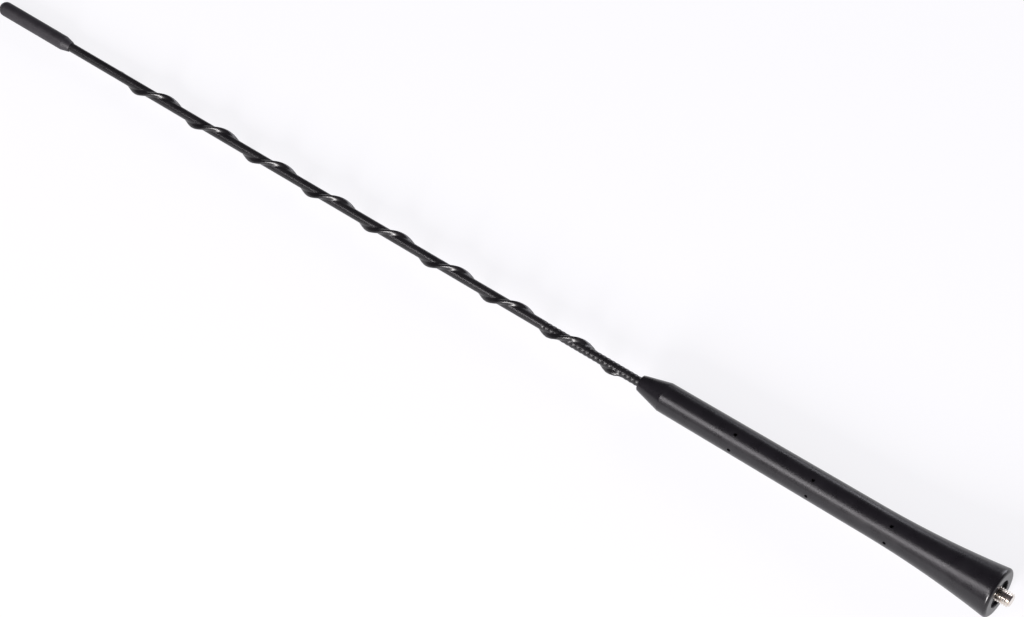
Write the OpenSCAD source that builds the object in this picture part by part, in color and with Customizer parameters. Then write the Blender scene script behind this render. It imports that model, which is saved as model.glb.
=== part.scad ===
// Roof whip antenna of a car: a soft handle moulded on a threaded stud, and a wound mast in a shrunk sleeve.
// Z runs up the mast. The origin is the middle of the handle's end face, where the stud comes out.

/* [Handle] */
// Diameter of the handle at its end face
rim_d = 17.8; // [15:0.2:24]
// Diameter of the grip where the flare starts
grip_d = 11.3; // [10:0.1:13]
// Diameter of the grip at its shoulder
shoulder_d = 10.4; // [8:0.1:11]
// Diameter of the handle's nose, where the mast comes out
nose_d = 5.5; // [4.6:0.1:7]
// Height at which the flare meets the straight grip
flare_h = 50; // [30:1:60]
// Height of the shoulder above the end face
shoulder_h = 128.5; // [115:0.5:200]
// Length of the cone from the shoulder to the nose
nose_len = 9.6; // [6:0.1:20]
// Radius of the edge round the end face
rim_edge_r = 1.2; // [0.4:0.1:2]
// Radius that softens the shoulder
shoulder_edge_r = 1.4; // [0.5:0.1:3]
// Diameter of the sunk seat round the stud
seat_d = 10.5; // [9:0.1:13]
// Depth of the sunk seat
seat_depth = 1; // [0.4:0.1:2]

/* [Locating dimples] */
// Diameter of the dimples that the mould's locating pins leave
dimple_d = 1.3; // [0.8:0.1:2]
// Depth of the dimples
dimple_depth = 1.8; // [0.5:0.1:2]
// Height of the lowest ring of dimples
dimple_first_h = 40; // [32:1:45]
// Distance from one ring of dimples to the next
dimple_pitch = 30; // [20:1:34]
// Rings of dimples along the grip
dimple_rings = 3; // [1:1:3]
// Angle between the two dimples of a pair
dimple_spread = 66; // [40:1:90]
// Direction that the pairs of dimples face
dimple_turn = -140; // [-180:1:180]

/* [Stud] */
// Outer diameter of the thread
thread_d = 5; // [4:0.5:6]
// Length of the thread that stands out of the end face
thread_out = 4.5; // [3:0.5:12]
// Width across the flats of the hexagon that the moulding grips
hex_af = 7.6; // [6.6:0.1:8.4]
// Height of the hexagon
hex_h = 5; // [3:0.5:8]
// Diameter of the stud's shank inside the handle
shank_d = 6.2; // [5:0.1:7]
// Length of the shank above the hexagon
shank_len = 26; // [20:1:28]
// Grooves round the shank that key it into the moulding
groove_count = 4; // [1:1:6]
// Width of one groove
groove_w = 1.4; // [0.8:0.1:2]
// Depth of one groove
groove_depth = 0.6; // [0.3:0.1:0.9]
// Depth of the socket that holds the rod
socket_depth = 22; // [10:1:24]

/* [Mast] */
// Height of the mast's tip above the end face
mast_top_h = 404.5; // [300:0.5:500]
// Diameter of the glass-fibre rod in the handle
rod_d = 2.2; // [1.8:0.1:2.6]
// Diameter of the rod at its tip
rod_tip_d = 1.8; // [1.4:0.1:2.2]
// Diameter of the aerial wire wound on the rod
wire_d = 0.24; // [0.15:0.01:0.3]
// Pitch of the close winding above the nose
close_pitch = 1.8; // [1.6:0.1:3]
// Turns in the close winding
close_turns = 30; // [10:1:40]
// Pitch of the open winding, which runs on to the tip
open_pitch = 12; // [8:0.5:25]
// Wall of the shrunk sleeve
sleeve_wall = 0.25; // [0.15:0.01:0.5]

/* [Spiral ridge] */
// Diameter of the cord that makes the spiral ridge
cord_d = 1.1; // [0.6:0.05:1.6]
// Distance along the mast that one turn of the ridge takes
cord_pitch = 24.4; // [16:0.1:40]
// Distance from the handle's nose up to the cord's lower end
cord_foot_gap = 9.9; // [7:0.1:30]
// Distance from the cord's upper end to the mouth of the tip cap
cord_head_gap = 21; // [7:0.5:60]
// Direction in which the cord's lower end lies
cord_turn = 174; // [-180:1:180]
// Width of the ridge that the sleeve makes, in widths of the cord as seen from the mast's axis
drape_widths = 2.77; // [2.5:0.01:3.6]
// Length over which the sleeve comes down at each end of the cord
drape_run = 3.5; // [2:0.5:6]

/* [Tip cap] */
// Outer diameter of the cap
cap_d = 5.05; // [4.6:0.05:7]
// Length of the cap
cap_len = 30.5; // [15:0.5:40]
// Length of the cone at the cap's mouth
cap_cone_len = 3; // [1:0.1:6]
// Plastic above the end of the cap's bore
cap_roof = 5; // [3:0.5:9]

/* [Hidden] */
$fn = 48;

// Gap that keeps a wound or shrunk layer just clear of the one inside it
layer_gap = 0.02;
// How many times deeper than its flats the sleeve stands clear of the cord
flat_clearance = 2.3;
// Gap between the rod's foot and the end of its socket
socket_gap = 0.3;
// Chamfer at the end of the thread, and depth of the relief above it
thread_chamfer = 0.5;
relief_depth = 0.45;

// Straight steps in one turn of the wire and of the spiral pieces, and sides of the wire and the cord
wire_steps = 10;
wire_sides = 4;
spiral_steps = 16;
cord_sides = 8;
// Points of the sleeve's section: on each flank of the ridge, and round the plain back
flank_count = 3;
back_count = 7;

hex_floor = seat_depth + 1;
shank_floor = hex_floor + hex_h;
shank_top = shank_floor + shank_len;
rod_foot_h = shank_top - socket_depth + socket_gap;
nose_h = shoulder_h + nose_len;
cap_mouth_h = mast_top_h - cap_len;
bore_top_h = mast_top_h - cap_roof;
// The sleeve's foot is moulded into the nose, and its head ends just short of the end of the cap's bore
sleeve_foot_h = shoulder_h - 2;
sleeve_top_h = bore_top_h - 0.5;
rod_top_h = sleeve_top_h - 0.5;
wire_foot_h = shank_top + wire_d;
close_foot_h = sleeve_foot_h - 4;
close_top_h = close_foot_h + close_turns * close_pitch;
wire_top_h = rod_top_h - 1;
cord_first_h = nose_h + cord_foot_gap;
cord_top_h = cap_mouth_h - cord_head_gap;

// Radii of the layers at a height: the rod narrows evenly from the shoulder to its tip
function rod_r(z) =
    rod_d / 2 - (rod_d - rod_tip_d) / 2 * max(0, z - shoulder_h) / (rod_top_h - shoulder_h);
function wire_seat_r(z) = (rod_r(z) + layer_gap) / cos(180 / wire_steps);
function wound_r(z) = wire_seat_r(z) + wire_d;
function sleeve_bore_r(z) = wound_r(z) / cos(back_step / 2) + layer_gap;
function sleeve_r(z) = sleeve_bore_r(z) + sleeve_wall;

// The cord turns left-handed: its direction goes backwards as it climbs, and holds still past its ends
function along_cord(z) = min(max(z, cord_first_h), cord_top_h);
function cord_angle(z) = cord_turn - 360 * (along_cord(z) - cord_first_h) / cord_pitch;
function cord_orbit(z) = wound_r(z) + layer_gap + cord_d / 2;
function point_at(r, angle, z) = [r * cos(angle), r * sin(angle), z];

// The cord lies askew on the mast, so a level cut through it is wider than it is deep
cord_cut_r = cord_d / 2 / cos(atan(2 * PI * cord_orbit(cord_first_h) / cord_pitch));
// Half of the angle over which the sleeve is drawn up on the cord, and the steps on it and round the rest
drape_angle = drape_widths * asin(cord_cut_r / cord_orbit(cord_first_h));
flank_step = drape_angle / flank_count;
back_step = (360 - 2 * drape_angle) / (back_count + 1);
// Extra height of the sleeve over the cord, so that its flats, which cut the corner, clear the round cord
drape_slack = flat_clearance * (cord_orbit(cord_first_h) + cord_d / 2) * (1 - cos(flank_step / 2));

// A solid drawn through rings of points, each ring running anticlockwise seen from the far end
module loft(rings) {
    n = len(rings[0]);
    last = len(rings) - 1;
    sides = [for (k = [0:last - 1], i = [0:n - 1], half = [0, 1])
        half == 0 ? [k * n + i, (k + 1) * n + i, (k + 1) * n + (i + 1) % n]
                  : [k * n + i, (k + 1) * n + (i + 1) % n, k * n + (i + 1) % n]];
    ends = [[for (i = [0:n - 1]) i], [for (i = [n - 1:-1:0]) last * n + i]];
    polyhedron(points = [for (ring = rings) each ring], faces = concat(sides, ends));
}

// A tube drawn through pairs of rings, one outside and one inside, with a flat rim at each end
module tube_loft(outer, inner) {
    n = len(outer[0]);
    last = len(outer) - 1;
    inside = n * len(outer);
    walls = [for (k = [0:last - 1], i = [0:n - 1], face = [0:3])
        let (j = (i + 1) % n, a = k * n + i, b = k * n + j, c = (k + 1) * n + i, d = (k + 1) * n + j)
        face == 0 ? [a, c, d] : face == 1 ? [a, d, b]
            : face == 2 ? [inside + a, inside + d, inside + c] : [inside + a, inside + b, inside + d]];
    rims = [for (i = [0:n - 1], face = [0:3])
        let (j = (i + 1) % n, t = last * n)
        face == 0 ? [i, j, inside + j] : face == 1 ? [i, inside + j, inside + i]
            : face == 2 ? [t + j, t + i, inside + t + j] : [t + i, inside + t + i, inside + t + j]];
    polyhedron(points = concat([for (ring = outer) each ring], [for (ring = inner) each ring]),
        faces = concat(walls, rims));
}

// Handle

// The flare is an arc that leaves the grip smoothly and reaches the rim at the end face
flare_drop = flare_h - rim_edge_r;
flare_out = (rim_d - grip_d) / 2;
flare_r = (flare_drop * flare_drop + flare_out * flare_out) / (2 * flare_out);
flare_sweep = asin(flare_drop / flare_r);
flare_steps = 14;
edge_steps = 5;

function flare_points() = [for (k = [0:flare_steps])
    let (a = flare_sweep * (1 - k / flare_steps))
    [grip_d / 2 + flare_r * (1 - cos(a)), flare_h - flare_r * sin(a)]];

// Quarter of the rim's edge, from the flat end face round to the side
function rim_points() = [for (k = [0:edge_steps])
    let (a = -90 + 90 * k / edge_steps)
    [rim_d / 2 - rim_edge_r + rim_edge_r * cos(a), rim_edge_r + rim_edge_r * sin(a)]];

// The shoulder is an arc that touches the grip below it and the nose cone above it
nose_slope = atan((shoulder_d - nose_d) / 2 / nose_len);
shoulder_set = shoulder_edge_r * tan(nose_slope / 2);

function shoulder_points() = [for (k = [0:edge_steps])
    let (a = nose_slope * k / edge_steps)
    [shoulder_d / 2 - shoulder_edge_r * (1 - cos(a)), shoulder_h - shoulder_set + shoulder_edge_r * sin(a)]];

module handle_outline() {
    polygon(concat([[0, 0]], rim_points(), [for (k = [1:flare_steps]) flare_points()[k]],
        shoulder_points(), [[nose_d / 2, nose_h], [0, nose_h]]));
}

// Radius of the grip's straight stretch at a height
function grip_r(z) = grip_d / 2 + (shoulder_d - grip_d) / 2 * (z - flare_h) / (shoulder_h - flare_h);
function side_r(z) = z >= flare_h ? grip_r(z)
    : grip_d / 2 + flare_r - sqrt(flare_r * flare_r - (flare_h - z) * (flare_h - z));

module dimple_ring(z) {
    for (side = [0, 180], tilt = [-dimple_spread / 2, dimple_spread / 2])
        rotate([0, 0, dimple_turn + side + tilt])
            translate([side_r(z) - dimple_depth, 0, z])
                rotate([0, 90, 0])
                    cylinder(h = dimple_depth + 1, d = dimple_d, $fn = 24);
}

// What the handle is moulded round: the stud below, then the wound rod, then the foot of the sleeve
module handle_core() {
    translate([0, 0, -1])
        cylinder(h = seat_depth + 1, d = seat_d);
    thread_blank();
    hexagon();
    stud_shank();
    translate([0, 0, shank_top - 1])
        cylinder(h = sleeve_foot_h - shank_top + 2, r = wound_r(0));
    translate([0, 0, sleeve_foot_h])
        cylinder(h = nose_h - sleeve_foot_h + 1, r = sleeve_r(shoulder_h));
}

module handle() {
    color([0.12, 0.12, 0.13])
        difference() {
            rotate_extrude($fn = 96)
                handle_outline();
            handle_core();
            for (k = [0:dimple_rings - 1])
                dimple_ring(dimple_first_h + k * dimple_pitch);
        }
}

// Stud

module hexagon() {
    translate([0, 0, hex_floor])
        cylinder(h = hex_h, d = hex_af / cos(30), $fn = 6);
}

groove_step = shank_len / (groove_count + 1);

module stud_shank() {
    difference() {
        translate([0, 0, shank_floor - 0.5])
            cylinder(h = shank_len + 0.5, d = shank_d);
        for (k = [1:groove_count])
            translate([0, 0, shank_floor + k * groove_step - groove_w / 2])
                rotate_extrude()
                    translate([shank_d / 2 - groove_depth, 0])
                        square([groove_depth + 1, groove_w]);
    }
}

module thread_blank() {
    translate([0, 0, -thread_out])
        cylinder(h = thread_chamfer, d1 = thread_d - 2 * thread_chamfer, d2 = thread_d);
    translate([0, 0, thread_chamfer - thread_out])
        cylinder(h = thread_out + seat_depth - thread_chamfer, d = thread_d);
    translate([0, 0, seat_depth - 0.01])
        cylinder(h = hex_floor - seat_depth + 0.02, d = thread_d - 2 * relief_depth);
}

module base_stud() {
    color([0.8, 0.76, 0.7])
        difference() {
            union() {
                thread_blank();
                hexagon();
                stud_shank();
            }
            translate([0, 0, shank_top - socket_depth])
                cylinder(h = socket_depth + 1, r = rod_d / 2 + layer_gap);
        }
}

// Mast

module core_rod() {
    color([0.85, 0.8, 0.6]) {
        translate([0, 0, rod_foot_h])
            cylinder(h = shoulder_h - rod_foot_h, d = rod_d);
        translate([0, 0, shoulder_h])
            cylinder(h = rod_top_h - shoulder_h, d1 = rod_d, d2 = rod_tip_d);
    }
}

// The wire runs openly up the handle, closely past the nose and openly on to the tip, left-handed too
lead_turns = ceil((close_foot_h - wire_foot_h) / open_pitch);
top_turns = ceil((wire_top_h - close_top_h) / open_pitch);
wire_turns = lead_turns + close_turns + top_turns;

function wire_h(turn) =
    turn < lead_turns ? wire_foot_h + (close_foot_h - wire_foot_h) * turn / lead_turns
    : turn < lead_turns + close_turns ? close_foot_h + (turn - lead_turns) * close_pitch
    : close_top_h + (wire_top_h - close_top_h) * (turn - lead_turns - close_turns) / top_turns;

function wire_ring(turn) = [for (i = [0:wire_sides - 1])
    let (z = wire_h(turn), a = 360 * i / wire_sides)
    point_at(wire_seat_r(z) + wire_d / 2 * (1 + cos(a)), -360 * turn, z + wire_d / 2 * sin(a))];

module radiator_winding() {
    color([0.72, 0.42, 0.25])
        loft([for (k = [0:wire_turns * wire_steps]) wire_ring(k / wire_steps)]);
}

spiral_count = ceil((cord_top_h - cord_first_h) / cord_pitch * spiral_steps);

function spiral_h(k) = cord_first_h + (cord_top_h - cord_first_h) * k / spiral_count;

function cord_ring(z) = [for (i = [0:cord_sides - 1])
    let (a = 360 * i / cord_sides, x = cord_orbit(z) + cord_d / 2 * cos(a), y = cord_cut_r * sin(a))
    point_at(norm([x, y]), cord_angle(z) + atan2(y, x), z)];

module wind_spiral() {
    color([0.2, 0.2, 0.2])
        loft([for (k = [0:spiral_count]) cord_ring(spiral_h(k))]);
}

// Directions of the sleeve's points, measured from the cord: close on the ridge and wide round the back
ridge_turns = [for (k = [-flank_count:flank_count]) flank_step * k];
back_turns = [for (k = [1:back_count]) drape_angle + back_step * k];
sleeve_turns = concat(ridge_turns, back_turns);

// How far the sleeve is drawn up: fully over the cord, and falling away past its ends
function drape_share(z) =
    z < cord_first_h ? max(0, 1 - (cord_first_h - z) / drape_run)
    : z > cord_top_h ? max(0, 1 - (z - cord_top_h) / drape_run) : 1;
function drape_rise(turn) = abs(turn) >= drape_angle ? 0 : (1 + cos(180 * turn / drape_angle)) / 2;

function sleeve_ring(z, wall) = [for (turn = sleeve_turns)
    let (rise = (cord_d + drape_slack) * drape_rise(turn) * drape_share(z))
    point_at(sleeve_bore_r(z) + wall + rise, cord_angle(z) + turn, z)];

// Heights of the sleeve's rings: the plain ends, the ramps at the cord's ends and the turns between
sleeve_heights = concat([sleeve_foot_h, cord_first_h - drape_run],
    [for (k = [0:spiral_count]) spiral_h(k)], [cord_top_h + drape_run, sleeve_top_h]);

module mast_sleeve() {
    color([0.1, 0.1, 0.11])
        tube_loft([for (z = sleeve_heights) sleeve_ring(z, sleeve_wall)],
            [for (z = sleeve_heights) sleeve_ring(z, 0)]);
}

// Tip cap

cap_bore_r = sleeve_r(cap_mouth_h) + layer_gap;
cap_lip_wall = 0.25;

module cap_outline() {
    dome_r = cap_d / 2;
    intersection() {
        union() {
            translate([0, mast_top_h - dome_r])
                circle(r = dome_r);
            polygon([[0, cap_mouth_h], [cap_bore_r + cap_lip_wall, cap_mouth_h],
                [dome_r, cap_mouth_h + cap_cone_len], [dome_r, mast_top_h - dome_r],
                [0, mast_top_h - dome_r]]);
        }
        translate([0, cap_mouth_h - 1])
            square([dome_r + 1, cap_len + 2]);
    }
}

module tip_cap() {
    color([0.15, 0.15, 0.16])
        difference() {
            rotate_extrude()
                cap_outline();
            translate([0, 0, cap_mouth_h - 1])
                cylinder(h = cap_len - cap_roof + 1, r = cap_bore_r);
        }
}

handle();
base_stud();
core_rod();
radiator_winding();
wind_spiral();
mast_sleeve();
tip_cap();
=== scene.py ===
# A car's roof whip antenna on a white table: soft handle, plated stud, ridged mast and tip cap.
# Everything is in metres. Z runs up the mast from the handle's end face, and the table lies on the +Y side.
from math import asin, atan, ceil, cos, degrees, hypot, pi, radians, sin, sqrt, tan

import bmesh
import bpy
from mathutils import Matrix, Vector


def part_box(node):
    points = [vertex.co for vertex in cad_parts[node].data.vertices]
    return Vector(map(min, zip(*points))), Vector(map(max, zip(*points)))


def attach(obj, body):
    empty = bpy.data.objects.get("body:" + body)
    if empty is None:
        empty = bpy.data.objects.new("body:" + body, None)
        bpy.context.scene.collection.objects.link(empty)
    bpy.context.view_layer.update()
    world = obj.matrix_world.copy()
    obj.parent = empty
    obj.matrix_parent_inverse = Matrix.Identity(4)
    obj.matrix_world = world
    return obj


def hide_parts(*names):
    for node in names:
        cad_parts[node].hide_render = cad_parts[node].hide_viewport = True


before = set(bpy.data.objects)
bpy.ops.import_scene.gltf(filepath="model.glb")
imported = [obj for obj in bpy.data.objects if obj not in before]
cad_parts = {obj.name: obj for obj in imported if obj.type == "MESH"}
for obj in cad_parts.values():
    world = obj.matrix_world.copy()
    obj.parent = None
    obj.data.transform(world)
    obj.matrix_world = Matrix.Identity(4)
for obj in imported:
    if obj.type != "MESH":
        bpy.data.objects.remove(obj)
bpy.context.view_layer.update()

low, high = {}, {}  # corners of each CAD node
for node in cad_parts:
    low[node], high[node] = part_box(node)
scene = bpy.context.scene
centre = (0, 0, 0)
mastAxis = (0, 0, 1)
sameSpot = 1e-6  # vertices nearer than this are one


# Shader nodes

class Value:
    # a socket that takes part in Python sums, each of which adds its Math node
    def __init__(self, finish, socket):
        self.finish, self.socket = finish, socket

    def calc(self, operation, first, second):
        return self.finish.add("ShaderNodeMath", {"operation": operation}, {0: first, 1: second})

    def __add__(self, other):
        return self.calc("ADD", self, other)

    def __radd__(self, other):
        return self.calc("ADD", other, self)

    def __mul__(self, other):
        return self.calc("MULTIPLY", self, other)

    def __rmul__(self, other):
        return self.calc("MULTIPLY", other, self)


class Finish:
    # the nodes of one material, or of the room
    def __init__(self, owner):
        owner.use_nodes = True
        self.owner, self.tree = owner, owner.node_tree
        self.tree.nodes.clear()

    def add(self, kind, settings=None, sockets=None, out=0):
        # a node with its settings and then its sockets' values or links
        node = self.tree.nodes.new(kind)
        for name, setting in (settings or {}).items():
            setattr(node, name, setting)
        for name, value in (sockets or {}).items():
            if isinstance(value, Value):
                self.tree.links.new(value.socket, node.inputs[name])
            else:
                node.inputs[name].default_value = value
        return Value(self, node.outputs[out]) if node.outputs else node

    def place(self, along=1):
        # object coordinates, scaled along the mast: less than 1 draws a pattern out lengthwise
        coords = self.add("ShaderNodeTexCoord", out="Object")
        return self.add("ShaderNodeMapping", {}, {"Vector": coords, "Scale": (1, 1, along)})

    def noise(self, place, pattern):
        # pattern is its scale, detail and roughness
        scale, detail, roughness = pattern
        sockets = {"Vector": place, "Scale": scale, "Detail": detail, "Roughness": roughness}
        return self.add("ShaderNodeTexNoise", {}, sockets)

    def between(self, value, ends):
        # 0 up to the lower end and 1 from the upper end on
        return self.add("ShaderNodeMapRange", {}, {"Value": value, "From Min": ends[0], "From Max": ends[1]})

    def mixed(self, share, tints):
        sockets = {0: share, 6: colour(tints[0]), 7: colour(tints[1])}
        return self.add("ShaderNodeMix", {"data_type": "RGBA"}, sockets, out=2)

    def bump(self, height, relief):
        # relief is its depth and strength
        sockets = {"Height": height, "Distance": relief[0], "Strength": relief[1]}
        return self.add("ShaderNodeBump", {}, sockets)

    def surface(self, **sockets):
        inputs = {name.replace("_", " "): value for name, value in sockets.items()}
        shader = self.add("ShaderNodeBsdfPrincipled", {}, inputs)
        self.add("ShaderNodeOutputMaterial", {}, {"Surface": shader})
        return self.owner


def newFinish(name):
    return Finish(bpy.data.materials.new(name))


def colour(tint):
    return (*tint, 1)


# Camera, table and lights

camera = dict(
    aim=(0, 0, 0.1892),  # point of the mast in the middle of the picture
    slip=(-0.00022, -0.00037),  # how far the picture's middle is from it, to the right and up
    distance=1.644,
    facing=-118.9,  # side of the mast that the camera looks at, in degrees round it
    lift=-19.0,  # degrees that the camera stands towards the stud's end
    roll=-59.49,
    lens=175.8,
    sensor=36.0,
)


def direction(around, lift):
    # unit vector at so many degrees round the mast and up along it
    turn, rise = radians(around), radians(lift)
    return Vector((cos(rise) * cos(turn), cos(rise) * sin(turn), sin(rise)))


def lookingBack(away, roll):
    # turn of a camera or lamp that stands along a direction, rolled by so many degrees
    return away.to_track_quat("Z", "Y").to_matrix() @ Matrix.Rotation(radians(roll), 3, "Z")


def addCamera():
    back = direction(camera["facing"], camera["lift"])
    turn = lookingBack(back, camera["roll"])
    aim = Vector(camera["aim"]) + turn @ Vector((*camera["slip"], 0))
    eye = bpy.data.objects.new("camera", bpy.data.cameras.new("camera"))
    eye.data.lens, eye.data.sensor_width = camera["lens"], camera["sensor"]
    eye.matrix_world = Matrix.Translation(aim + camera["distance"] * back) @ turn.to_4x4()
    scene.collection.objects.link(eye)
    scene.camera = eye


table = dict(
    size=3.0,
    gap=0.00002,  # under the antenna
    whiteShare=0.8,  # share of plain white that the camera and glossy surfaces see in it
    white=(1.06, 1.055, 1.08),
    paints=((0.84, 0.83, 0.87), (0.87, 0.86, 0.9)),
    mottle=(6, 3, 0.5),
)


def addTable():
    # the antenna lies on the handle's rim and on the round end of its tip cap
    rimR, capR, capTop = high["handle"].x, high["tip_cap"].x, high["tip_cap"].z
    slope = asin((rimR - capR) / (capTop - capR))
    down = Vector((0, cos(slope), sin(slope)))
    touch = Vector((0, 0, capTop - capR)) + capR * down
    bm = bmesh.new()
    bmesh.ops.create_grid(bm, x_segments=1, y_segments=1, size=table["size"] / 2)
    bmesh.ops.rotate(bm, verts=bm.verts, matrix=Matrix.Rotation(pi / 2 + slope, 3, "X"))
    bmesh.ops.translate(bm, verts=bm.verts, vec=touch + table["gap"] * down)
    mesh = bpy.data.meshes.new("table")
    bm.to_mesh(mesh)
    bm.free()
    mesh.materials.append(tableMaterial())
    board = bpy.data.objects.new("table", mesh)
    scene.collection.objects.link(board)


def tableMaterial():
    # seen from behind, the table is clear
    finish = newFinish("whiteTable")
    mottle = finish.noise(finish.place(), table["mottle"])
    paint = finish.add("ShaderNodeBsdfDiffuse", {}, {"Color": finish.mixed(mottle, table["paints"])})
    plain = finish.add("ShaderNodeEmission", {}, {"Color": colour(table["white"]), "Strength": 1.0})
    seen = finish.add("ShaderNodeLightPath", out="Is Camera Ray")
    mirrored = finish.add("ShaderNodeLightPath", out="Is Glossy Ray")
    either = finish.add("ShaderNodeMath", {"operation": "MAXIMUM"}, {0: seen, 1: mirrored})
    lit = finish.add("ShaderNodeMixShader", {}, {0: either * table["whiteShare"], 1: paint, 2: plain})
    clear = finish.add("ShaderNodeBsdfTransparent")
    behind = finish.add("ShaderNodeNewGeometry", out="Backfacing")
    sheet = finish.add("ShaderNodeMixShader", {}, {0: behind, 1: lit, 2: clear})
    finish.add("ShaderNodeOutputMaterial", {}, {"Surface": sheet})
    return finish.owner


lights = dict(
    # at: degrees round the mast, degrees up along it, and distance from the camera's aim
    # size: across and along the mast, before the roll in degrees
    key=dict(at=(-139, 14, 1.3), size=(0.2, 0.7), roll=-61, watts=4.5, tint=(1.0, 0.96, 1.0)),
    side=dict(at=(-186, -8, 1.5), size=(0.5, 1.05), roll=0, watts=0.6, tint=(1.0, 0.95, 1.0)),
    edge=dict(at=(-17, -8, 1.5), size=(0.9, 0.9), roll=-20, watts=12.0, tint=(0.93, 0.92, 1.0)),
    front=dict(at=(-160, -14, 1.3), size=(0.45, 0.3), roll=0, watts=26.0, tint=(1.0, 0.97, 0.97)),
)
room = dict(
    shade=(0.09, 0.082, 0.099),
    backdrop=(1, 1, 1),  # seen by the camera alone
)


def addLights():
    for name, lamp in lights.items():
        around, lift, distance = lamp["at"]
        away = direction(around, lift)
        panel = bpy.data.lights.new(name, "AREA")
        panel.shape = "RECTANGLE"
        panel.size, panel.size_y = lamp["size"]
        panel.energy, panel.color = lamp["watts"], lamp["tint"]
        stand = bpy.data.objects.new(name, panel)
        spot = Vector(camera["aim"]) + distance * away
        stand.matrix_world = Matrix.Translation(spot) @ lookingBack(away, lamp["roll"]).to_4x4()
        scene.collection.objects.link(stand)


def addRoom():
    scene.world = bpy.data.worlds.new("room")
    finish = Finish(scene.world)
    walls = finish.add("ShaderNodeBackground", {}, {"Color": colour(room["shade"])})
    white = finish.add("ShaderNodeBackground", {}, {"Color": colour(room["backdrop"])})
    seen = finish.add("ShaderNodeLightPath", out="Is Camera Ray")
    pick = finish.add("ShaderNodeMixShader", {}, {0: seen, 1: walls, 2: white})
    finish.add("ShaderNodeOutputWorld", {}, {"Surface": pick})
    scene.view_settings.view_transform = "Standard"


# Shaping helpers

def turned(outline, steps, closed=True, start=None):
    # a solid of revolution round the mast's axis, from points (radius, height) of its outline
    bm = start or bmesh.new()
    ring = [bm.verts.new((r, 0, z)) for r, z in outline]
    edges = [bm.edges.new(pair) for pair in zip(ring, ring[1:] + ring[: 1 if closed else 0])]
    bmesh.ops.spin(
        bm, geom=ring + edges, cent=centre, axis=mastAxis, angle=2 * pi, steps=steps, use_merge=True
    )
    bmesh.ops.remove_doubles(bm, verts=bm.verts, dist=sameSpot)
    return bm


def arc(centreR, centreZ, radius, fromAngle, toAngle, steps):
    # points (radius, height) of an arc, angles in degrees from the outward direction
    turns = [radians(fromAngle + (toAngle - fromAngle) * k / steps) for k in range(steps + 1)]
    return [(centreR + radius * cos(a), centreZ + radius * sin(a)) for a in turns]


def line(first, last, steps):
    # points from first up to but without last
    return [tuple(a + (b - a) * k / steps for a, b in zip(first, last)) for k in range(steps)]


def makePiece(bm, name, material, node, sharp=40):
    bmesh.ops.recalc_face_normals(bm, faces=bm.faces)
    mesh = bpy.data.meshes.new(name)
    bm.to_mesh(mesh)
    bm.free()
    mesh.shade_smooth()
    mesh.set_sharp_from_angle(angle=radians(sharp))
    mesh.materials.append(material)
    piece = bpy.data.objects.new(name, mesh)
    scene.collection.objects.link(piece)
    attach(piece, "root")
    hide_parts(node)
    return piece


# Handle

handle = dict(
    gripR=0.00565,  # where the flare meets the straight grip
    flareHeight=0.050,
    shoulderR=0.0052,
    shoulderHeight=0.1285,
    shoulderEdge=0.0012,
    noseR=0.00275,
    noseEdge=0.00035,
    rimEdge=0.0012,
    seatR=0.00525,  # sunk seat round the stud
    seatDepth=0.001,
    seatEdge=0.00025,
    inset=0.0001,  # distance of the first ring from a sharp corner
    mastGap=0.00001,  # round the sleeve's foot
    studGap=0.00002,  # round the stud
    steps=192,  # faces round the mast
    dimpleR=0.00065,
    dimpleDepth=0.0018,
    dimpleHeights=(0.040, 0.070, 0.100),
    dimpleTurns=(-173, -107, 7, 73),  # degrees round the mast
    dimpleTaper=(0.85, 1.05),  # radius at the floor and outside, as shares of dimpleR
    pinStandOut=0.001,  # how far the cutting pins reach out of the side
    tints=((0.006, 0.0053, 0.007), (0.010, 0.009, 0.0112)),  # darkest and palest
    roughness=0.24,  # before the grain adds its own
    grain=(5200, 3, 0.6),  # scale, detail and roughness of a noise, as in the other pieces
    swell=(420, 2, 0.5),
    swellAlong=0.15,  # how much slower it changes along the mast
    wear=(160, 4, 0.6),
    wearEnds=(0.35, 0.7),  # the noise's values for the two tints
    relief=(0.00001, 0.28),  # depth and strength of the bump
)


def flareArc():
    # height and radius of the arc that flares the grip out to the rim
    drop, out = handle["flareHeight"] - handle["rimEdge"], high["handle"].x - handle["gripR"]
    return drop, (drop * drop + out * out) / (2 * out)


def sideR(height):
    # radius of the handle's side at a height
    flareR = flareArc()[1]
    if height < handle["flareHeight"]:
        return handle["gripR"] + flareR - sqrt(flareR ** 2 - (handle["flareHeight"] - height) ** 2)
    share = (height - handle["flareHeight"]) / (handle["shoulderHeight"] - handle["flareHeight"])
    return handle["gripR"] + (handle["shoulderR"] - handle["gripR"]) * share


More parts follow.
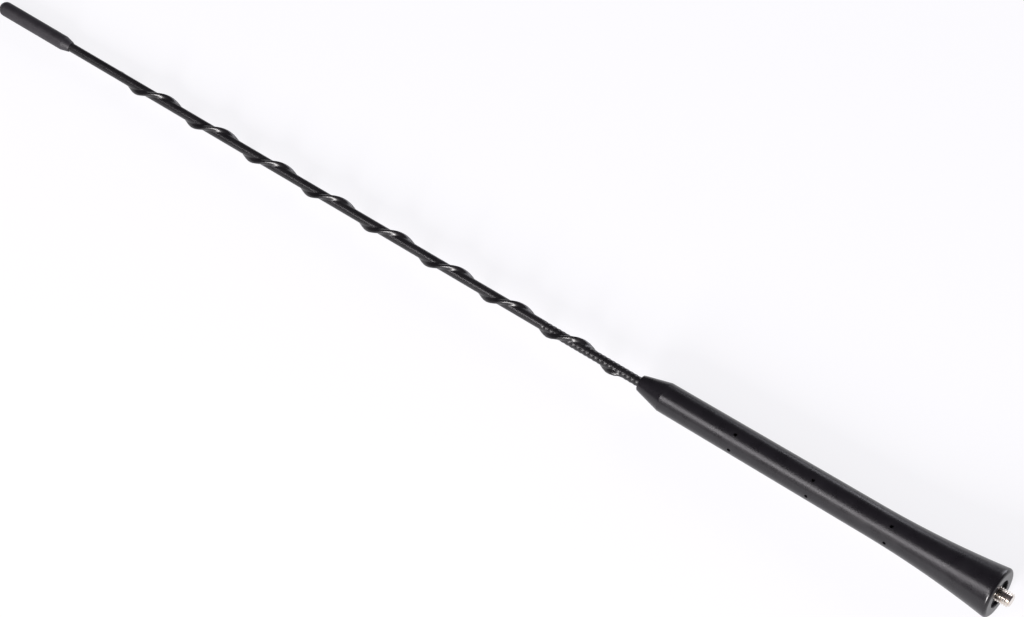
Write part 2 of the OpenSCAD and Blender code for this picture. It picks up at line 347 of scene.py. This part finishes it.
def handleOutline():
    # up the outside from the seat to the nose
    rimR, top = high["handle"].x, high["handle"].z
    gripR, flareHeight, noseR = handle["gripR"], handle["flareHeight"], handle["noseR"]
    seatR, seatEdge, inset = handle["seatR"], handle["seatEdge"], handle["inset"]
    rimEdge, shoulderEdge, noseEdge = handle["rimEdge"], handle["shoulderEdge"], handle["noseEdge"]
    drop, flareR = flareArc()
    sweep = degrees(asin(drop / flareR))
    noseSlope = degrees(atan((handle["shoulderR"] - noseR) / (top - handle["shoulderHeight"])))
    edgeFrom = handle["shoulderHeight"] - shoulderEdge * tan(radians(noseSlope / 2))
    points = arc(seatR, seatEdge, seatEdge, 180, 270, 4)
    points += line((seatR + 2 * inset, 0), (rimR - rimEdge, 0), 12)
    points += arc(rimR - rimEdge, rimEdge, rimEdge, -90, 0, 10)
    points += arc(gripR + flareR, flareHeight, flareR, 180 + sweep, 180, 60)[1:]
    points += line((gripR, flareHeight), (handle["shoulderR"], edgeFrom), 78)[1:]
    points += arc(handle["shoulderR"] - shoulderEdge, edgeFrom, shoulderEdge, 0, noseSlope, 6)
    points += line(points[-1], (noseR + inset, top - noseEdge), 14)[1:]
    points += arc(noseR - noseEdge + inset / 2, top - noseEdge, noseEdge, noseSlope, 90, 6)
    return points + innerOutline(top)


def innerOutline(top):
    # down the inside, where the moulding grips the mast's foot and the stud
    inset, studGap = handle["inset"], handle["studGap"]
    seatR, seatDepth, seatEdge = handle["seatR"], handle["seatDepth"], handle["seatEdge"]
    mastR, boreR = mast["footR"] + handle["mastGap"], mast["footR"] - mast["wall"] - inset
    shankR, hexR, threadR = (stud[name] + studGap for name in ("shankR", "hexR", "threadR"))
    shankTop = stud["shankTop"] + studGap
    points = [(mastR + inset, top), (mastR, top - inset)]
    points += line((mastR, top - 5 * inset), (mastR, mast["footHeight"]), 6)
    points += [(boreR, mast["footHeight"]), (boreR, shankTop), (shankR, shankTop), (shankR, stud["hexTop"])]
    points += [(hexR, stud["hexTop"]), (hexR, stud["hexFloor"])]
    points += [(threadR, stud["hexFloor"]), (threadR, seatDepth)]
    points += line((stud["threadR"] + 2 * inset, seatDepth), (seatR - seatEdge, seatDepth), 4)
    return points + [(seatR - seatEdge * 0.3, seatDepth - seatEdge * 0.3)]


def handlePiece():
    bm = turned(handleOutline(), handle["steps"])
    piece = makePiece(bm, "handlePiece", softMaterial(), "handle", 30)
    cutMesh = bpy.data.meshes.new("pins")
    pins = dimplePins()
    pins.to_mesh(cutMesh)
    pins.free()
    cutter = bpy.data.objects.new("pins", cutMesh)
    scene.collection.objects.link(cutter)
    cut = piece.modifiers.new("pinHoles", "BOOLEAN")
    cut.operation, cut.solver, cut.object = "DIFFERENCE", "EXACT", cutter
    done = bpy.data.meshes.new_from_object(piece.evaluated_get(bpy.context.evaluated_depsgraph_get()))
    piece.modifiers.clear()
    piece.data = done
    bpy.data.objects.remove(cutter)
    print("handle done,", len(done.polygons), "faces")


def dimplePins():
    # the mould's locating pins leave a blind hole each
    pins = bmesh.new()
    tall = handle["dimpleDepth"] + handle["pinStandOut"]
    floorR, mouthR = (handle["dimpleR"] * share for share in handle["dimpleTaper"])
    for height in handle["dimpleHeights"]:
        for turn in handle["dimpleTurns"]:
            out = direction(turn, 0)
            pinCentre = out * (sideR(height) - handle["dimpleDepth"] + tall / 2) + Vector((0, 0, height))
            stand = Matrix.Translation(pinCentre) @ out.to_track_quat("Z", "Y").to_matrix().to_4x4()
            bmesh.ops.create_cone(
                pins, cap_ends=True, segments=20, radius1=floorR, radius2=mouthR, depth=tall, matrix=stand
            )
    return pins


def softMaterial():
    finish = newFinish("softBlack")
    place = finish.place()
    grain = finish.noise(place, handle["grain"])
    swell = finish.noise(finish.place(handle["swellAlong"]), handle["swell"])
    blotch = finish.between(finish.noise(place, handle["wear"]), handle["wearEnds"])
    base = finish.mixed(blotch, handle["tints"])
    roughness = handle["roughness"] + grain * 0.05 + blotch * 0.05
    relief = finish.bump(grain * 0.7 + swell * 0.6, handle["relief"])
    return finish.surface(Base_Color=base, Roughness=roughness, IOR=1.5, Normal=relief)


# Stud

stud = dict(
    threadR=0.0025,
    pitch=0.0008,
    threadDepth=0.00045,
    crest=0.0001,  # flat on the crest
    flank=30,  # slope of the thread's sides in degrees
    chamfer=0.0005,
    reliefR=0.00205,  # neck between thread and hexagon
    reliefLength=0.0011,
    hexFloor=0.002,
    hexTop=0.007,
    hexR=0.00438786,  # to the corners, 7.6 mm across the flats
    hexEdge=0.0002,
    shankR=0.0031,
    shankTop=0.033,
    shankEdge=0.0003,
    shankSunk=0.0001,  # into the hexagon
    grooves=4,
    grooveWidth=0.0014,
    grooveDepth=0.0006,
    socketR=0.00112,
    socketFloor=0.011,
    stepsPerTurn=40,  # of the thread
    steps=64,  # faces round the shank
    tints=((0.80, 0.77, 0.73), (0.72, 0.63, 0.56)),
    roughness=0.10,
    drawn=(2600, 3, 0.6),
    drawnAlong=0.06,
    cloud=(900, 3, 0.6),
    cloudEnds=(0.4, 0.65),
    relief=(0.000006, 0.6),
)


def threadShell():
    bottom, top = low["base_stud"].z, handle["seatDepth"]
    pitch, outR = stud["pitch"], stud["threadR"]
    rootR = outR - stud["threadDepth"]
    rise = stud["threadDepth"] * tan(radians(stud["flank"]))
    crestFrom = pitch - rise - stud["crest"]
    begin = bottom - 1.01 * pitch  # a little over a turn of run-in, cut off below
    outline = [(rootR, 0), (rootR, crestFrom - rise), (outR, crestFrom), (outR, crestFrom + stud["crest"])]
    outline.append((rootR, pitch))
    bm = bmesh.new()
    verts = [bm.verts.new((r, 0, begin + z)) for r, z in outline]
    edges = [bm.edges.new(pair) for pair in zip(verts, verts[1:])]
    turns = ceil((top - bottom) / pitch) + 2
    steps, climb = turns * stud["stepsPerTurn"], (0, 0, pitch / stud["stepsPerTurn"])
    bmesh.ops.spin(
        bm, geom=verts + edges, cent=centre, axis=mastAxis, dvec=climb, angle=2 * pi * turns, steps=steps
    )
    bmesh.ops.remove_doubles(bm, verts=bm.verts, dist=2 * sameSpot)
    for height, side in ((bottom, -1), (top, 1)):
        shell = bm.verts[:] + bm.edges[:] + bm.faces[:]
        bmesh.ops.bisect_plane(
            bm, geom=shell, plane_co=(0, 0, height), plane_no=(0, 0, side), clear_outer=True
        )
        bmesh.ops.holes_fill(bm, edges=[edge for edge in bm.edges if edge.is_boundary], sides=0)
    for vert in bm.verts:  # the chamfer at the thread's end
        reach = outR - stud["chamfer"] + (vert.co.z - bottom)
        length = hypot(vert.co.x, vert.co.y)
        if length > reach:
            vert.co.x, vert.co.y = vert.co.x * reach / length, vert.co.y * reach / length
    return bm


def addHexagon(bm):
    tall, hexR = stud["hexTop"] - stud["hexFloor"], stud["hexR"]
    seat = Matrix.Translation((0, 0, stud["hexFloor"] + tall / 2))
    block = bmesh.ops.create_cone(
        bm, cap_ends=True, segments=6, radius1=hexR, radius2=hexR, depth=tall, matrix=seat
    )
    corners = list({edge for vert in block["verts"] for edge in vert.link_edges})
    bmesh.ops.bevel(
        bm, geom=corners, offset=stud["hexEdge"], affect="EDGES", segments=2, profile=0.5, material=-1
    )


def shankOutline():
    # the neck under the hexagon, the grooved shank above it and the socket in its top
    reliefR, shankR, shankTop, edge = stud["reliefR"], stud["shankR"], stud["shankTop"], stud["shankEdge"]
    neckFrom, shankFrom = stud["hexFloor"] - stud["reliefLength"], stud["hexTop"] - stud["shankSunk"]
    half, deepR = stud["grooveWidth"] / 2, shankR - stud["grooveDepth"]
    spacing = (shankTop - stud["hexTop"]) / (stud["grooves"] + 1)
    outline = [(0, neckFrom), (reliefR, neckFrom), (reliefR, shankFrom), (shankR, shankFrom)]
    for k in range(1, stud["grooves"] + 1):
        mid = stud["hexTop"] + k * spacing
        outline += [(shankR, mid - half), (deepR, mid - half), (deepR, mid + half), (shankR, mid + half)]
    outline += [(shankR, shankTop - edge), (shankR - edge, shankTop), (stud["socketR"], shankTop)]
    return outline + [(stud["socketR"], stud["socketFloor"]), (0, stud["socketFloor"])]


def studPiece():
    bm = threadShell()
    addHexagon(bm)
    turned(shankOutline(), stud["steps"], closed=False, start=bm)
    makePiece(bm, "studPiece", platedMaterial(), "base_stud", 25)
    print("stud done")


def platedMaterial():
    finish = newFinish("brightPlate")
    drawn = finish.noise(finish.place(stud["drawnAlong"]), stud["drawn"])
    cloud = finish.noise(finish.place(), stud["cloud"])
    base = finish.mixed(finish.between(cloud, stud["cloudEnds"]), stud["tints"])
    roughness = stud["roughness"] + drawn * 0.12 + cloud * 0.06
    relief = finish.bump(drawn, stud["relief"])
    return finish.surface(Base_Color=base, Metallic=1.0, Roughness=roughness, Normal=relief)


# Mast

mast = dict(
    footHeight=0.1265,  # the sleeve's foot is moulded into the nose
    footR=0.001745,  # outer radius of the sleeve at its foot
    headR=0.001526,  # and at its head
    taperFrom=0.1285,
    wall=0.00025,
    cordD=0.00116,
    cordPitch=0.0244,
    cordFoot=0.1480,
    cordHead=0.3530,
    cordTurn=174.0,  # direction of the cord's lower end
    drapeAngle=42.0,  # half the ridge's width, in degrees round the mast
    drapeRun=0.0035,  # length over which the ridge rises at its ends
    ringPitch=0.0018,  # close winding that shows through near the nose
    ringDepth=0.00011,
    ringFade=0.6,  # share of the depth that the ridge hides
    ringsFrom=0.1225,
    ringsTo=0.1765,
    fineStep=0.000225,  # between rows where the rings are
    step=0.0006,  # and above them
    around=64,
    tints=((0.006, 0.0056, 0.0065), (0.012, 0.0112, 0.0128)),
    roughness=0.28,
    grain=(3800, 3, 0.6),
    drawn=(1500, 3, 0.55),
    drawnAlong=0.12,
    cloud=(220, 3, 0.5),
    cloudEnds=(0.35, 0.7),
    relief=(0.00001, 0.5),
)


def cordAngle(height):
    along = min(max(height, mast["cordFoot"]), mast["cordHead"])
    return radians(mast["cordTurn"]) - 2 * pi * (along - mast["cordFoot"]) / mast["cordPitch"]


def smooth(share):
    share = min(max(share, 0), 1)
    return share * share * (3 - 2 * share)


def sleeveR(turn, height, inner):
    # radius of the sleeve in a direction: drawn up over the cord, and rippled over the close winding
    taper = (mast["headR"] - mast["footR"]) / (high["mast_sleeve"].z - mast["taperFrom"])
    plain = mast["footR"] + taper * max(0, height - mast["taperFrom"])
    past = max(mast["cordFoot"] - height, height - mast["cordHead"], 0)
    share = smooth(1 - past / mast["drapeRun"])
    off = degrees((turn - cordAngle(height) + pi) % (2 * pi) - pi)
    lift = 0 if abs(off) > mast["drapeAngle"] else (1 + cos(pi * off / mast["drapeAngle"])) / 2 * share
    if inner:
        return plain - mast["wall"] + mast["cordD"] * lift
    ripple = 0
    if mast["ringsFrom"] < height < mast["ringsTo"]:
        phase = height / mast["ringPitch"] + turn / (2 * pi)
        ripple = mast["ringDepth"] * (cos(2 * pi * phase) - 1) / 2 * (1 - mast["ringFade"] * lift)
    return plain + mast["cordD"] * lift + ripple


def sleeveSection():
    # (height, whether inside) of each row: up the outside, down the inside and back to the start
    foot, ringsTo, head = mast["footHeight"], mast["ringsTo"], high["mast_sleeve"].z
    fine, coarse = round((ringsTo - foot) / mast["fineStep"]), round((head - ringsTo) / mast["step"])
    levels = [foot + (ringsTo - foot) * k / fine for k in range(fine)]
    levels += [ringsTo + (head - ringsTo) * k / coarse for k in range(coarse + 1)]
    outside = [(level, False) for level in levels]
    return outside + [(level, True) for level in reversed(levels)] + outside[:1]


def sleevePiece():
    section = sleeveSection()
    last = len(section) - 1
    bm = bmesh.new()
    bmesh.ops.create_grid(bm, x_segments=mast["around"], y_segments=last, size=0.5)
    for vert in bm.verts:  # the flat sheet is rolled into a tube whose rows follow the ridge
        height, inner = section[round((vert.co.y + 0.5) * last)]
        turn = 2 * pi * (vert.co.x - height / mast["cordPitch"])
        reach = sleeveR(turn, height, inner)
        vert.co = (reach * cos(turn), reach * sin(turn), height)
    bmesh.ops.remove_doubles(bm, verts=bm.verts, dist=sameSpot)
    piece = makePiece(bm, "sleevePiece", sleeveMaterial(), "mast_sleeve", 50)
    print("sleeve done,", len(piece.data.polygons), "faces")


def sleeveMaterial():
    finish = newFinish("shrunkBlack")
    place = finish.place()
    grain = finish.noise(place, mast["grain"])
    drawn = finish.noise(finish.place(mast["drawnAlong"]), mast["drawn"])
    cloud = finish.between(finish.noise(place, mast["cloud"]), mast["cloudEnds"])
    base = finish.mixed(cloud, mast["tints"])
    roughness = mast["roughness"] + drawn * 0.06 + grain * 0.04
    relief = finish.bump(grain * 0.5 + drawn * 0.8, mast["relief"])
    return finish.surface(Base_Color=base, Roughness=roughness, IOR=1.5, Normal=relief)


# Tip cap

cap = dict(
    mouthWall=0.00025,
    mouthEdge=0.00006,
    lipEdge=0.00008,
    boreEdge=0.0001,
    coneLength=0.003,
    coneEdge=0.0006,
    coneInset=0.001,  # distance of the first ring past the cone's edge
    roof=0.005,
    boreR=0.001567,
    steps=96,
    tints=((0.016, 0.0145, 0.018), (0.026, 0.024, 0.028)),
    roughness=0.46,
    grain=(4600, 4, 0.65),
    cloud=(260, 3, 0.6),
    cloudEnds=(0.35, 0.7),
    relief=(0.000014, 0.6),
)


def capOutline():
    mouth, top, capR = low["tip_cap"].z, high["tip_cap"].z, high["tip_cap"].x
    boreR, bevel, edge = cap["boreR"], cap["mouthEdge"], cap["coneEdge"]
    lip, coneTop = boreR + cap["mouthWall"], mouth + cap["coneLength"]
    slope = degrees(atan((capR - lip) / cap["coneLength"]))
    setback = edge * tan(radians(slope / 2))
    outline = [(boreR, mouth + cap["boreEdge"]), (boreR + bevel, mouth), (lip - bevel, mouth)]
    coneEnd = (capR - setback * sin(radians(slope)), coneTop - setback)
    outline += line((lip, mouth + cap["lipEdge"]), coneEnd, 6)
    outline += arc(capR - edge, coneTop + setback, edge, -slope, 0, 5)
    outline += line((capR, coneTop + cap["coneInset"]), (capR, top - capR), 20)
    outline += arc(0, top - capR, capR, 0, 90, 24)[:-1]
    return outline + [(0, top), (0, top - cap["roof"]), (boreR, top - cap["roof"])]


def capPiece():
    bm = turned(capOutline(), cap["steps"])
    makePiece(bm, "capPiece", capMaterial(), "tip_cap", 40)
    print("tip cap done")


def capMaterial():
    finish = newFinish("capCharcoal")
    place = finish.place()
    grain = finish.noise(place, cap["grain"])
    cloud = finish.between(finish.noise(place, cap["cloud"]), cap["cloudEnds"])
    base = finish.mixed(cloud, cap["tints"])
    roughness = cap["roughness"] + grain * 0.12
    relief = finish.bump(grain, cap["relief"])
    return finish.surface(Base_Color=base, Roughness=roughness, IOR=1.5, Normal=relief)


# Pieces inside, which stay as the frame has them

rod = dict(
    tints=((0.66, 0.60, 0.42), (0.86, 0.82, 0.68)),
    roughness=0.35,
    strands=(5200, 3, 0.6),
    strandsAlong=0.02,
    relief=(0.00002, 1.0),
)


def rodMaterial():
    finish = newFinish("glassRod")
    strands = finish.noise(finish.place(rod["strandsAlong"]), rod["strands"])
    base = finish.mixed(strands, rod["tints"])
    relief = finish.bump(strands, rod["relief"])
    return finish.surface(Base_Color=base, Roughness=rod["roughness"] + strands * 0.25, Normal=relief)


wire = dict(
    tints=((0.60, 0.26, 0.13), (0.80, 0.42, 0.25)),
    roughness=0.2,
    smear=(1400, 3, 0.6),
)


def wireMaterial():
    finish = newFinish("lacqueredCopper")
    smear = finish.noise(finish.place(), wire["smear"])
    base = finish.mixed(smear, wire["tints"])
    return finish.surface(Base_Color=base, Metallic=1.0, Roughness=wire["roughness"] + smear * 0.2)


cord = dict(
    tints=((0.07, 0.07, 0.075), (0.12, 0.12, 0.125)),
    roughness=0.35,
    haze=(2400, 3, 0.5),
    relief=(0.00001, 1.0),
)


def cordMaterial():
    finish = newFinish("drawnNylon")
    haze = finish.noise(finish.place(), cord["haze"])
    base = finish.mixed(haze, cord["tints"])
    relief = finish.bump(haze, cord["relief"])
    return finish.surface(Base_Color=base, Roughness=cord["roughness"] + haze * 0.15, Normal=relief)


def dress(node, material):
    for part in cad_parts[node].material_slots:
        part.material = material


addCamera()
addTable()
addLights()
addRoom()
print("camera, table and lights done")
handlePiece()
studPiece()
sleevePiece()
capPiece()
dress("core_rod", rodMaterial())
dress("radiator_winding", wireMaterial())
dress("wind_spiral", cordMaterial())
print("inside pieces dressed")
